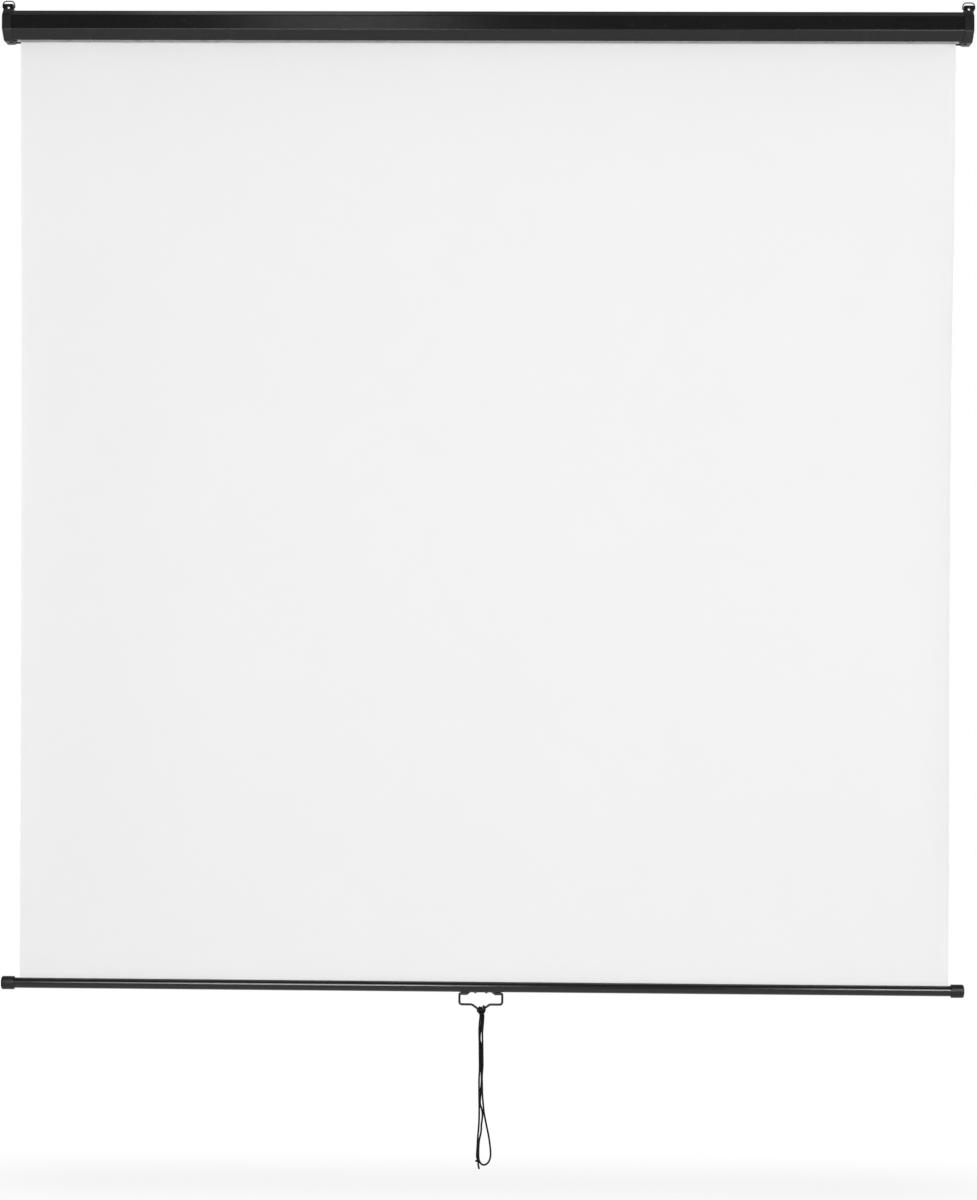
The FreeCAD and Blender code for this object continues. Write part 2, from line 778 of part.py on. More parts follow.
def cord_tube(name, route):
    """A free stretch of cord: straight runs joined by arcs as large as the runs allow."""
    points = cord_points(route)
    radii = []
    for before, corner, after in zip(points, points[1:], points[2:]):
        turn = (corner - before).getAngle(after - corner)
        shorter = min((corner - before).Length, (after - corner).Length)
        radii.append(cord_bend_share * shorter / math.tan(turn / 2))
    path = rounded_path(points, radii)
    shape = tube(path, cord_diameter / 2)
    section = math.pi * cord_diameter**2 / 4
    print(
        name, "length", round(path.Length, 1), "least radius", round(min(radii), 1),
        "volume share", round(shape.Volume / (section * path.Length), 4),
    )
    return shape


def cord_hitch():
    """The cow hitch round the handle's dip, on three strands, its bore flared so that it can swing."""
    half = hitch_length / 2
    bore = handle_wire_radius + hitch_clearance
    ring = rod_x(-half, half, bore + cord_diameter, cloth_y, dip_z)
    deep = hitch_depth / 2
    upper = [
        V(x, y, dip_z) for x, y in
        ((-half, cloth_y - deep), (half, cloth_y - deep), (half, cloth_y + deep), (-half, cloth_y + deep))
    ]
    narrow = hitch_neck / 2
    lower = [
        V(x, y, dip_z - hitch_drop) for x, y in
        (
            (-narrow, cloth_y - deep), (narrow, cloth_y - deep),
            (narrow, cloth_y + deep), (-narrow, cloth_y + deep),
        )
    ]
    neck = Part.makeLoft([Part.makePolygon(p + p[:1]) for p in (upper, lower)], True, True)
    hitch = ring.fuse(neck).cut(rod_x(-half - past, half + past, bore, cloth_y, dip_z))
    for side in SIDES.values():
        mouth = bore + hitch_flare * hitch_neck
        flare = Part.makeCone(bore, mouth, hitch_neck, V(side * flare_start(), cloth_y, dip_z), V(side, 0, 0))
        hitch = hitch.cut(flare)
    return hitch.removeSplitter()


def flare_start():
    """Distance from the middle at which the dip's wire begins to rise."""
    slope = math.atan2(handle_dip, dip_shoulder - dip_half_width)
    return dip_half_width - dip_corner * math.tan(slope / 2)


def cord_knot():
    """The overhand knot at the cord's end."""
    x, y, z = knot_at
    return Part.makeSphere(knot_width / 2, V(x, cloth_y + y, dip_z + z))


def cord_pieces():
    """The cord's free stretches, with room made for the knot."""
    knot = cord_knot()
    pieces = {
        "pull_cord_loop": cord_tube("pull_cord_loop", loop_route),
        "pull_cord_leg": cord_tube("pull_cord_leg", leg_route),
        "pull_cord_tail": cord_tube("pull_cord_tail", tail_route),
    }
    found = {name: shape.cut(knot) for name, shape in pieces.items()}
    found["cord_end_knot"] = knot
    found["cord_hitch"] = cord_hitch()
    return found


def pieces():
    """Every node by name, each a solid or a list of like solids."""
    found = {
        "casing": casing(),
        "cap_screws": cap_screws(),
        "hanger_screws": hanger_screws(),
        "roller_tube": roller_tube(),
        "spring_plug": spring_plug(),
        "idler_plug": idler_plug(),
        "idler_pin": idler_pin(),
        "idler_bush": idler_bush(),
        "spring_shaft": spring_shaft(),
        "spring_collar": spring_collar(),
        "spring_anchor": spring_anchor(),
        "torsion_spring": torsion_spring(),
        "ratchet_hub": ratchet_hub(),
        "pawl_pins": pawl_pins(),
        "cloth_wraps": cloth_wraps(),
        "screen_cloth": screen_cloth(),
        "welt_rod": welt_rod(),
        "bottom_bar": bottom_bar(),
        "handle_clip": handle_clip(),
        "clip_screws": clip_screws(),
        "wire_handle": wire_handle(),
    }
    for name in pawl_pivots():
        found["pawl_" + name] = pawl(name)
    for name, side in SIDES.items():
        found["end_cap_" + name] = end_cap(side)
        found["hanger_bracket_" + name] = hanger_bracket(side)
        found["hanger_ring_" + name] = hanger_ring(side)
        found["bar_cap_" + name] = bar_cap(side)
    found.update(cord_pieces())
    return found


os.makedirs("parts", exist_ok=True)
for name, shape in pieces().items():
    group = shape if isinstance(shape, list) else [shape]
    solids = [solid for item in group for solid in item.Solids]
    whole = solids[0] if len(solids) == 1 else Part.Compound(solids)
    print(name, len(solids), "valid" if whole.isValid() else "INVALID", round(whole.Volume, 1))
    whole.exportStep("parts/" + name + ".step")
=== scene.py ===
import json
import math

import bpy
from mathutils import Matrix, Vector


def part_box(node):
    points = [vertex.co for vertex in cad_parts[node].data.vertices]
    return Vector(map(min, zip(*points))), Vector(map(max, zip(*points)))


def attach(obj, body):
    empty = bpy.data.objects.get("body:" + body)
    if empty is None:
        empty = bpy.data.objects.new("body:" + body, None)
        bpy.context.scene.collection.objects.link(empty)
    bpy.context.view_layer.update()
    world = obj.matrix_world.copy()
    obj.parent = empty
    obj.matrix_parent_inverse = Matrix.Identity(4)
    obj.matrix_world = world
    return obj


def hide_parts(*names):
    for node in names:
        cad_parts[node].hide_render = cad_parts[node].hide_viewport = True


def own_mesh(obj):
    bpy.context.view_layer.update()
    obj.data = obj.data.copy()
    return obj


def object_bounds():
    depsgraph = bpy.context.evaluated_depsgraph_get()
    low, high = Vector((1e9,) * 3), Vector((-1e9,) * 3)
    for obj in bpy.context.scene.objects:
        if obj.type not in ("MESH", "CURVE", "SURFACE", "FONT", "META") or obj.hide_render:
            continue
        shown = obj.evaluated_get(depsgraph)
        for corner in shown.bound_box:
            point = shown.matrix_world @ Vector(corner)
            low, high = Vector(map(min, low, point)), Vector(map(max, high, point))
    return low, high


# Looks of a wall-hung roller projection screen, lowered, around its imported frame.
# Metres. X runs to the viewer's right, Y away from the viewer to the wall, Z up.

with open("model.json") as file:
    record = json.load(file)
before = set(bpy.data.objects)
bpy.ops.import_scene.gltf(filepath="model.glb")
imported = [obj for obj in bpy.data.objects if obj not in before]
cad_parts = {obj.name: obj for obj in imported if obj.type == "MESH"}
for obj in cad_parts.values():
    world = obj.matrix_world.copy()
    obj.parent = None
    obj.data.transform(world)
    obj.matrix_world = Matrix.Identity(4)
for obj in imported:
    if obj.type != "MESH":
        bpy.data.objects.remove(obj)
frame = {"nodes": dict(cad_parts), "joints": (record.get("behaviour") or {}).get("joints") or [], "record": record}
nodes = frame["nodes"]
joints = {joint["name"]: joint for joint in frame["joints"]}
cad_low, cad_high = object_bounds()

# Photograph's frame and the camera fitted to it
IMAGE_HEIGHT = 1200
FOCAL_PIXELS = 2575.2
SENSOR = 36.0
CAMERA_PLACE = (0.1071, -5.0, -1.1361)
CAMERA_YAW = math.radians(1.115)
CAMERA_PITCH = math.radians(-0.12)
CAMERA_ROLL = math.radians(-0.355)

# The two ends of the part, by their sign along X
SIDES = {"left": -1, "right": 1}

# Casing section and end caps
UPPER_CHAMFER = 0.0105
LOWER_CHAMFER = 0.018
CAP_PROUD = 0.003
CAP_OVERLAP = 0.010
CAP_EDGE = 0.0012
CAP_BEVEL_LENGTH = 0.0045
CAP_BEVEL_EASE = 0.0002
CAP_DOME = 0.0035
CAP_DOME_INSET = 0.012
CAP_DOME_STEPS = 10
CAP_CORNER = 0.0035
CAP_REAR_CORNER = 0.009
CAP_CORNER_STEPS = 6
CAP_CLEARANCE = 0.00015
BOSS_LENGTH = 0.008
BOSS_RADIUS = 0.0105
BOSS_SIDES = 64

# Bottom bar and its caps
BAR_WALL = 0.0012
BAR_SLOT = 0.002
BAR_STEPS = 96
BAR_CAP_LENGTH = 0.026
BAR_CAP_RIM = 0.0008
BAR_CAP_ROUND = 0.003
BAR_CAP_DOME = 0.0014
BAR_CAP_CROWN = (0.8, 0.6, 0.4, 0.2, 0.04)
BAR_CAP_SIDES = 72

# Wire handle, hanger rings and cord
HANDLE_HALF_WIDTH = 0.0415
HANDLE_PIN = 0.028
HANDLE_DROP = 0.0212
HANDLE_DIP = 0.0106
DIP_SHOULDER = 0.0174
DIP_HALF_WIDTH = 0.0024
HANDLE_CORNERS = (0.0025, 0.005, 0.008, 0.004)
WIRE_RADIUS = 0.0022
WIRE_SIDES = 24
WIRE_CORNER_STEPS = 8
RING_RADIUS = 0.0011
RING_LEG = 0.0115
RING_PIN = 0.005
RING_RISE = 0.013
RING_CORNERS = (0.0015, 0.0075)
CORD_DIAMETER = 0.0036
CORD_SIDES = 14
SPLINE_STEPS = 12

# Braid of the cord: pairs of yarns round it, crossings in a repeat, and a repeat's length in diameters
YARN_PAIRS = 8
CROSSINGS = 5
BRAID_REPEAT = 3

# Angles in degrees from which an edge is drawn sharp, on soft or bent pieces and on moulded or cut ones
BENT_SHARP = 60
CUT_SHARP = 40

axis_y, axis_z = joints["roller_spin"]["pos_m"][1:]
casing_low, casing_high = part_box("casing")
bar_low, bar_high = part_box("bottom_bar")
bar_y = (bar_low.y + bar_high.y) / 2
bar_z = (bar_low.z + bar_high.z) / 2
bar_radius = (bar_high.y - bar_low.y) / 2
handle_pivot = Vector(joints["handle_swing"]["pos_m"])
dip = Vector(joints["cord_swing"]["pos_m"])


# Material helpers

PATTERN_MIDDLE = (0.3, 0.7)
EDGE_SAMPLES = 6


def new_material(name, color, roughness, more=None):
    """A node material with one Principled shader, and its tree and shader."""
    material = bpy.data.materials.new(name)
    material.use_nodes = True
    tree = material.node_tree
    shader = tree.nodes["Principled BSDF"]
    settings = {"Base Color": (*color, 1), "Roughness": roughness, **(more or {})}
    for key, value in settings.items():
        shader.inputs[key].default_value = value
    return material, tree, shader


def add_node(tree, kind, links=None, **values):
    """A node with its inputs set by value or linked from other sockets."""
    node = tree.nodes.new(kind)
    for key, value in values.items():
        setattr(node, key, value)
    for key, value in (links or {}).items():
        socket = node.inputs[key]
        if isinstance(value, bpy.types.NodeSocket):
            tree.links.new(value, socket)
        else:
            socket.default_value = value
    return node


def calculate(tree, operation, first, second=0.0):
    """The result of a sum, product or other operation on one or two values."""
    return add_node(tree, "ShaderNodeMath", {0: first, 1: second}, operation=operation).outputs[0]


def remap(tree, value, low, high, new_low, new_high, kind="LINEAR"):
    """A value that goes from new_low to new_high as the given one goes from low to high."""
    links = {"Value": value, 1: low, 2: high, 3: new_low, 4: new_high}
    return add_node(tree, "ShaderNodeMapRange", links, interpolation_type=kind).outputs["Result"]


def place(tree, stretch=(1, 1, 1)):
    """The object's own coordinates in metres, stretched along its axes."""
    coordinates = add_node(tree, "ShaderNodeTexCoord").outputs["Object"]
    links = {"Vector": coordinates, "Scale": stretch}
    return add_node(tree, "ShaderNodeMapping", links).outputs["Vector"]


def noise(tree, scale, detail=3.0, stretch=(1, 1, 1)):
    """A noise pattern of that many waves a metre."""
    links = {"Vector": place(tree, stretch), "Scale": scale, "Detail": detail}
    return add_node(tree, "ShaderNodeTexNoise", links).outputs["Fac"]


def spread(tree, pattern, low, high):
    """A pattern's middle range spread from low to high."""
    return remap(tree, pattern, *PATTERN_MIDDLE, low, high)


def tint(tree, shader, pattern, color, amount):
    """The base colour, varied by a pattern about its written value."""
    low = (*[c * (1 - amount) for c in color], 1)
    high = (*[c * (1 + amount) for c in color], 1)
    links = {"Factor": pattern, 6: low, 7: high}
    mix = add_node(tree, "ShaderNodeMix", links, data_type="RGBA")
    tree.links.new(mix.outputs[2], shader.inputs["Base Color"])


def relief(tree, shader, height, depth, strength=1.0, normal=None):
    """Bump of a pattern, with its depth in metres."""
    links = {"Height": height, "Distance": depth, "Strength": strength}
    if normal is not None:
        links["Normal"] = normal
    bump = add_node(tree, "ShaderNodeBump", links)
    tree.links.new(bump.outputs["Normal"], shader.inputs["Normal"])


def soft_edges(tree, radius):
    """A normal that rounds sharp edges by that radius."""
    return add_node(tree, "ShaderNodeBevel", {"Radius": radius}, samples=EDGE_SAMPLES).outputs["Normal"]


# Finishes

BLACK_PAINT = (0.0085, 0.0085, 0.0088)


def coated(name, color, roughness, grain, depth, edge, more, stretch=(1, 1, 1)):
    """A painted or moulded black finish: grain, uneven gloss and softened edges."""
    material, tree, shader = new_material(name, color, roughness, more)
    tint(tree, shader, noise(tree, scale=14.0), color, amount=0.18)
    blotches = noise(tree, scale=45.0, detail=5.0, stretch=stretch)
    tree.links.new(spread(tree, blotches, roughness - 0.05, roughness + 0.06), shader.inputs["Roughness"])
    peel = noise(tree, grain, detail=2.0, stretch=stretch)
    relief(tree, shader, peel, depth, normal=soft_edges(tree, edge))
    return material


def metal(name, color, roughness, lines, stretch):
    """A bare metal with fine lines drawn along it."""
    material, tree, shader = new_material(name, color, roughness, {"Metallic": 1.0})
    drawn = noise(tree, lines, detail=4.0, stretch=stretch)
    tint(tree, shader, drawn, color, amount=0.1)
    tree.links.new(spread(tree, drawn, roughness - 0.07, roughness + 0.1), shader.inputs["Roughness"])
    relief(tree, shader, drawn, depth=0.00002)
    return material


def casing_paint():
    """Black paint under a thin satin lacquer on folded sheet, with a fine orange peel."""
    lacquer = {"Specular IOR Level": 0.1, "Coat Weight": 1.0, "Coat IOR": 1.3, "Coat Roughness": 0.18}
    return coated(
        "casing_paint", BLACK_PAINT, roughness=0.23, grain=420.0, depth=0.00001, edge=0.001, more=lacquer
    )


def cap_plastic():
    """Black moulded plastic with a fine grain."""
    return coated(
        "cap_plastic", (0.0098, 0.0098, 0.0102), roughness=0.44, grain=1700.0, depth=0.00006, edge=0.0004,
        more={"Specular IOR Level": 0.3},
    )


def bar_paint():
    """Satin black coat over drawn tube, its faint lines along the bar."""
    return coated(
        "bar_paint", BLACK_PAINT, roughness=0.22, grain=600.0, depth=0.000006, edge=0.0005,
        more={"Specular IOR Level": 0.4}, stretch=(0.04, 1, 1),
    )


def black_wire():
    """Black coated wire."""
    return coated(
        "black_wire", (0.0055, 0.0055, 0.0057), roughness=0.42, grain=900.0, depth=0.00003, edge=0.0002,
        more={"Specular IOR Level": 0.3},
    )


def black_screws():
    """Blackened steel with uneven gloss."""
    color = (0.06, 0.06, 0.062)
    material, tree, shader = new_material("black_screws", color, roughness=0.42, more={"Metallic": 0.85})
    blotches = noise(tree, scale=260.0, detail=4.0)
    tint(tree, shader, blotches, color, amount=0.3)
    tree.links.new(spread(tree, blotches, 0.34, 0.52), shader.inputs["Roughness"])
    relief(tree, shader, blotches, depth=0.00002, normal=soft_edges(tree, 0.0003))
    return material


def nylon():
    """Natural moulded nylon."""
    color = (0.78, 0.77, 0.72)
    milky = {"Subsurface Weight": 0.15, "Subsurface Radius": (0.002, 0.002, 0.0015)}
    material, tree, shader = new_material("nylon", color, roughness=0.5, more=milky)
    tint(tree, shader, noise(tree, scale=30.0), color, amount=0.04)
    relief(tree, shader, noise(tree, scale=1200.0), depth=0.00003)
    return material


def screen_white():
    """Matt white coated cloth: a fine plain weave under the coat, hardly varied in tone."""
    color = (0.862, 0.862, 0.862)
    matt = {"Specular IOR Level": 0.2, "Sheen Weight": 0.06}
    material, tree, shader = new_material("screen_white", color, roughness=0.88, more=matt)
    tint(tree, shader, noise(tree, scale=3.0, detail=4.0), color, amount=0.006)
    threads = []
    for way in ("X", "Z"):
        links = {"Vector": place(tree), "Scale": 390.0}
        threads.append(add_node(tree, "ShaderNodeTexWave", links, bands_direction=way).outputs["Fac"])
    relief(tree, shader, calculate(tree, "MULTIPLY", *threads), depth=0.00002, strength=0.5)
    return material


def black_cord():
    """Braided cord: sixteen yarns that cross along its length, with painted shade between them and painted
    highlight on their crowns.
    """
    color = (0.0075, 0.0075, 0.0078)
    matt = {"Sheen Weight": 0.02, "Specular IOR Level": 0.15}
    material, tree, shader = new_material("black_cord", color, roughness=0.75, more=matt)
    turn = add_node(tree, "ShaderNodeUVMap", uv_map="braid").outputs["UV"]
    parts = add_node(tree, "ShaderNodeSeparateXYZ", {"Vector": turn}).outputs
    around = calculate(tree, "MULTIPLY", parts["X"], YARN_PAIRS * math.tau)
    along = calculate(tree, "MULTIPLY", parts["Y"], CROSSINGS * math.tau)
    waves = [
        calculate(tree, "SINE", calculate(tree, way, around, along)) for way in ("ADD", "SUBTRACT")
    ]
    height = spread(tree, calculate(tree, "MULTIPLY", *waves), 0.0, 1.0)
    # Painted shade and highlight: the base colour follows the braid's height, darker in the grooves between the
    # yarns and lighter on their crowns
    tint(tree, shader, height, color, amount=0.2)
    relief(tree, shader, height, depth=0.00018)
    return material


finish = {
    "casing_paint": casing_paint(),
    "cap_plastic": cap_plastic(),
    "bar_paint": bar_paint(),
    "black_wire": black_wire(),
    "black_screws": black_screws(),
    "bare_steel": metal(
        "bare_steel", (0.56, 0.56, 0.57), roughness=0.3, lines=700.0, stretch=(0.05, 1, 1)
    ),
    "roller_metal": metal(
        "roller_metal", (0.78, 0.78, 0.79), roughness=0.36, lines=500.0, stretch=(0.03, 1, 1)
    ),
    "nylon": nylon(),
    "screen_white": screen_white(),
    "black_cord": black_cord(),
}

for subpart in frame["record"]["subparts"]:
    mesh = nodes[subpart["node"]].data
    mesh.materials.clear()
    mesh.materials.append(finish[subpart["material_slot"]])


# Mesh helpers


def add_piece(name, points, faces, slot, body, replaced, sharp):
    """A mesh piece with smooth faces and sharp edges that rides on a body and stands for some nodes."""
    mesh = bpy.data.meshes.new(name)
    mesh.from_pydata([tuple(p) for p in points], [], faces)
    mesh.validate()
    mesh.polygons.foreach_set("use_smooth", [True] * len(mesh.polygons))
    mesh.set_sharp_from_angle(angle=math.radians(sharp))
    mesh.materials.append(finish[slot])
    piece = bpy.data.objects.new(name, mesh)
    bpy.context.scene.collection.objects.link(piece)
    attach(piece, body)
    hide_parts(*replaced)
    return piece


def joined(*parts):
    """Several (points, faces) as one."""
    points, faces = [], []
    for more, its_faces in parts:
        faces += [[k + len(points) for k in face] for face in its_faces]
        points += more
    return points, faces


def outward(faces, side):
    """Faces of a piece built for the right, turned to face outward on the given side."""
    return [face[::-1] for face in faces] if side < 0 else faces


def loft(loops, closed=True):
    """Points and faces of a skin over closed loops of equal count, its two ends closed if asked."""
    count = len(loops[0])
    points = [p for loop in loops for p in loop]
    faces = []
    for row in range(len(loops) - 1):
        for k in range(count):
            a = row * count + k
            b = row * count + (k + 1) % count
            faces.append((a, b, b + count, a + count))
    if closed:
        faces.append(tuple(reversed(range(count))))
        faces.append(tuple(range(len(points) - count, len(points))))
    return points, faces


def turned(profile, y, z, sides):
    """A closed skin turned about a line along X, from (x, radius) pairs."""
    angles = [math.tau * k / sides for k in range(sides)]
    return loft([
        [Vector((x, y + radius * math.cos(a), z + radius * math.sin(a))) for a in angles]
        for x, radius in profile
    ])


def arc(center, radius, start, end, steps):
    """(a, b) pairs along an arc, with angles in degrees."""
    found = []
    for k in range(steps + 1):
        angle = math.radians(start + (end - start) * k / steps)
        found.append((center[0] + radius * math.cos(angle), center[1] + radius * math.sin(angle)))
    return found


def rounded_corner(before, corner, after, radius, steps):
    """Points of an arc that rounds one corner of a section or a wire."""
    back = (before - corner).normalized()
    ahead = (after - corner).normalized()
    half = (math.pi - back.angle(ahead)) / 2
    first = corner + back * radius * math.tan(half)
    center = corner + (back + ahead).normalized() * radius / math.cos(half)
    out = (first - center).normalized()
    along = -back
    return [
        center + (out * math.cos(t) + along * math.sin(t)) * radius
        for t in (2 * half * k / steps for k in range(steps + 1))
    ]


def bent_path(points, radii):
    """A wire's path with each inner corner rounded by its own radius."""
    path = [points[0]]
    for before, corner, after, radius in zip(points, points[1:], points[2:], radii):
        path += rounded_corner(before, corner, after, radius, WIRE_CORNER_STEPS)
    return path + [points[-1]]


def tube_loops(path, radius, sides):
    """Rings along a path that don't twist."""
    angles = [math.tau * n / sides for n in range(sides)]
    loops = []
    side = None
    for k, at in enumerate(path):
        way = (path[min(k + 1, len(path) - 1)] - path[max(k - 1, 0)]).normalized()
        if side is None:
            side = way.orthogonal().normalized()
        side = (side - way * side.dot(way)).normalized()
        other = way.cross(side)
        loops.append([at + (side * math.cos(a) + other * math.sin(a)) * radius for a in angles])
    return loops


# Screen cloth. Its hung edges as drop below the roller's axis, left half width and right half width
CLOTH_EDGES = [
    (0.00, 0.9050, 0.9050), (0.06, 0.9045, 0.9045), (0.22, 0.9028, 0.9043), (0.36, 0.9018, 0.9036),
    (0.51, 0.9005, 0.9016), (0.71, 0.8992, 0.8994), (0.90, 0.8983, 0.8988), (1.10, 0.8978, 0.8991),
    (1.30, 0.8975, 0.8998), (1.50, 0.8971, 0.9006), (1.70, 0.8968, 0.9015), (1.85, 0.8966, 0.9020),
]
CLOTH_COLUMNS = 96
CLOTH_ROWS = 84

# Slack belly: its depth, the level it ripples about, the width over which it dies out to a side edge, the
# drop where it starts, the length of its growth, and the share of the cloth over which it dies out to the bar
SLACK = 0.0042
SLACK_LEVEL = 0.72
SLACK_EDGE = 0.034
SLACK_START = 0.07
SLACK_GROWTH = 0.4
SLACK_END_SHARE = 0.2

# Ripples in the belly as height, waves across, waves down and phase
RIPPLES = [(0.22, 5.1, 1.3, 0.6), (0.14, 9.3, -2.2, 0.0), (0.08, 16.0, 3.0, 1.1)]

# Right edge: how far it curls forward and the cloth beside it goes back, the widths over which both fade, and
# where they start, grow and die out to the bar, as for the belly
CURL_FRONT = 0.004
CURL_BACK = 0.0035
CURL_FRONT_WIDTH = 0.028
CURL_BACK_WIDTH = 0.22
CURL_START = 0.09
CURL_GROWTH = 0.46
CURL_END_SHARE = 0.12


def ramp(value, length):
    """A share that rises from 0 to 1 as the value goes from 0 to length."""
    return min(1.0, max(0.0, value / length))


def smooth(share):
    """A share from 0 to 1 with a gentle start and end."""
    return share * share * (3 - 2 * share)


def screen_cloth():
    """The hung sheet: held flat by roller and bar, a little narrower and slack between them."""
    low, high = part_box("screen_cloth")
    middle_y = (low.y + high.y) / 2
    thickness = high.y - low.y

    def half_width(drop, column):
        """Half width on one side, read between the rows of the edge table."""
        for (d0, *first), (d1, *second) in zip(CLOTH_EDGES, CLOTH_EDGES[1:]):
            if drop <= d1:
                share = (drop - d0) / (d1 - d0)
                return first[column] + (second[column] - first[column]) * share
        return CLOTH_EDGES[-1][column + 1]

    def at(u, v, face):
        """A point across u from -1 to 1 and down v from 0 to 1, on the front or the back face."""
        drop = v * (high.z - low.z)
        half = half_width(drop, 0 if u < 0 else 1)
        from_edge = (1 - abs(u)) * half
        free = smooth(ramp(drop - SLACK_START, SLACK_GROWTH) * ramp(1 - v, SLACK_END_SHARE))
        ripple = sum(
            height * math.sin(across * u + down * v + phase) for height, across, down, phase in RIPPLES
        )
        bow = SLACK * free * (1 - math.exp(-from_edge / SLACK_EDGE)) * (SLACK_LEVEL + ripple)
        if u > 0:
            free = smooth(ramp(drop - CURL_START, CURL_GROWTH) * ramp(1 - v, CURL_END_SHARE))
            near = math.exp(-from_edge / CURL_FRONT_WIDTH)
            wide = math.exp(-from_edge / CURL_BACK_WIDTH)
            bow += free * (CURL_BACK * (wide - near) - CURL_FRONT * near)
        return Vector((u * half, middle_y + bow + face * thickness / 2, high.z - drop))

    across = [math.sin(math.pi / 2 * (2 * k / CLOTH_COLUMNS - 1)) for k in range(CLOTH_COLUMNS + 1)]
    down = [k / CLOTH_ROWS for k in range(CLOTH_ROWS + 1)]
    loops = [
        [at(u, v, -1) for u in across] + [at(u, v, 1) for u in reversed(across)]
        for v in down
    ]
    points, faces = loft(loops, closed=False)
    width = CLOTH_COLUMNS + 1
    for row in (0, CLOTH_ROWS):
        start = row * 2 * width
        for k in range(CLOTH_COLUMNS):
            ring = (start + k, start + k + 1, start + 2 * width - 2 - k, start + 2 * width - 1 - k)
            faces.append(ring if row else ring[::-1])
    cloth = add_piece("hung_cloth", points, faces, "screen_white", "bar", ["screen_cloth"], BENT_SHARP)
    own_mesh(cloth)


screen_cloth()


# Casing end caps


def section(grow, x):
    """The casing's outline set out by grow, with rounded corners, at x."""
    half_depth = (casing_high.y - casing_low.y) / 2 + grow
    half_height = (casing_high.z - casing_low.z) / 2 + grow
    longer = grow * (2 - math.sqrt(2))
    upper = UPPER_CHAMFER + longer
    lower = LOWER_CHAMFER + longer
    outline = [
        (-half_depth + lower, -half_height), (-half_depth, -half_height + lower),
        (-half_depth, half_height - upper), (-half_depth + upper, half_height),
        (half_depth, half_height), (half_depth, -half_height),
    ]
    corners = [Vector((x, axis_y + y, axis_z + z)) for y, z in outline]
    found = []
    for k, corner in enumerate(corners):
        # A corner's radius grows by a third of what the outline does
        radius = (CAP_REAR_CORNER if k == len(corners) - 1 else CAP_CORNER) + grow / 3
        after = corners[(k + 1) % len(corners)]
        found += rounded_corner(corners[k - 1], corner, after, radius, CAP_CORNER_STEPS)
    return found


def end_cap(name, side):
    """A moulded cup over the casing's end with a domed outside and a bearing boss inside."""
    low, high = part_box("end_cap_" + name)
    seat = casing_high.x
    inner = seat - CAP_OVERLAP
    rim = max(abs(low.x), abs(high.x)) - CAP_DOME
    steps = [
        (seat, CAP_CLEARANCE), (inner, CAP_CLEARANCE), (inner, CAP_PROUD - CAP_EDGE),
        (inner + CAP_BEVEL_LENGTH - CAP_EDGE, CAP_PROUD - CAP_BEVEL_EASE),
        (inner + CAP_BEVEL_LENGTH, CAP_PROUD), (rim - CAP_EDGE, CAP_PROUD),
    ]
    for k in range(CAP_DOME_STEPS + 1):
        angle = math.pi / 2 * k / CAP_DOME_STEPS
        inset = CAP_DOME_INSET * (1 - math.cos(angle))
        steps.append((rim + CAP_DOME * math.sin(angle), CAP_PROUD - inset))
    cup = loft([section(grow, side * x) for x, grow in steps])
    start = seat - BOSS_LENGTH
    profile = [(seat, BOSS_RADIUS), (start + CAP_EDGE, BOSS_RADIUS), (start, BOSS_RADIUS - CAP_EDGE)]
    boss = turned([(side * x, r) for x, r in profile], axis_y, axis_z, BOSS_SIDES)
    points, faces = joined(cup, boss)
    add_piece(
        "cap_shell_" + name, points, outward(faces, side), "cap_plastic", "housing", ["end_cap_" + name],
        CUT_SHARP,
    )


for side_name, side_sign in SIDES.items():
    end_cap(side_name, side_sign)


# Bottom bar


def bottom_bar():
    """A slotted round tube, open along its top where the cloth enters."""
    slot_half = math.degrees(math.asin(BAR_SLOT / 2 / bar_radius))
    first, last = 90 + slot_half, 450 - slot_half
    outer = arc((bar_y, bar_z), bar_radius, first, last, BAR_STEPS)
    inner = arc((bar_y, bar_z), bar_radius - BAR_WALL, last, first, BAR_STEPS)
    ring = outer + inner
    loops = [[Vector((x, y, z)) for y, z in ring] for x in (bar_low.x, bar_high.x)]
    points, faces = loft(loops, closed=False)
    count = len(ring)
    for k in range(count // 2 - 1):
        end = (k, k + 1, count - 2 - k, count - 1 - k)
        faces.append(end[::-1])
        faces.append(tuple(n + count for n in end))
    add_piece("bar_tube", points, faces, "bar_paint", "bar", ["bottom_bar"], CUT_SHARP)


def bar_cap(name, side):
    """A sleeve cap over the bar's end, with an eased rim and a rounded outer edge."""
    low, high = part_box("bar_cap_" + name)
    radius = (high.y - low.y) / 2
    end = max(abs(low.x), abs(high.x))
    start = end - BAR_CAP_LENGTH
    profile = [(bar_high.x, bar_radius), (start, bar_radius), (start, radius - BAR_CAP_RIM)]
    rim_center = (start + BAR_CAP_RIM, radius - BAR_CAP_RIM)
    profile += arc(rim_center, BAR_CAP_RIM, start=180, end=90, steps=5)[1:]
    edge_center = (end - BAR_CAP_DOME - BAR_CAP_ROUND, radius - BAR_CAP_ROUND)
    profile += arc(edge_center, BAR_CAP_ROUND, start=90, end=15, steps=8)
    crown_x, crown_radius = profile[-1]
    for share in BAR_CAP_CROWN:
        profile.append((end - (end - crown_x) * share * share, crown_radius * share))
    points, faces = turned([(side * x, r) for x, r in profile], bar_y, bar_z, BAR_CAP_SIDES)
    add_piece(
        "bar_end_" + name, points, outward(faces, side), "cap_plastic", "bar", ["bar_cap_" + name],
        CUT_SHARP,
    )


bottom_bar()
for side_name, side_sign in SIDES.items():
    bar_cap(side_name, side_sign)


# Wire handle and hanger rings


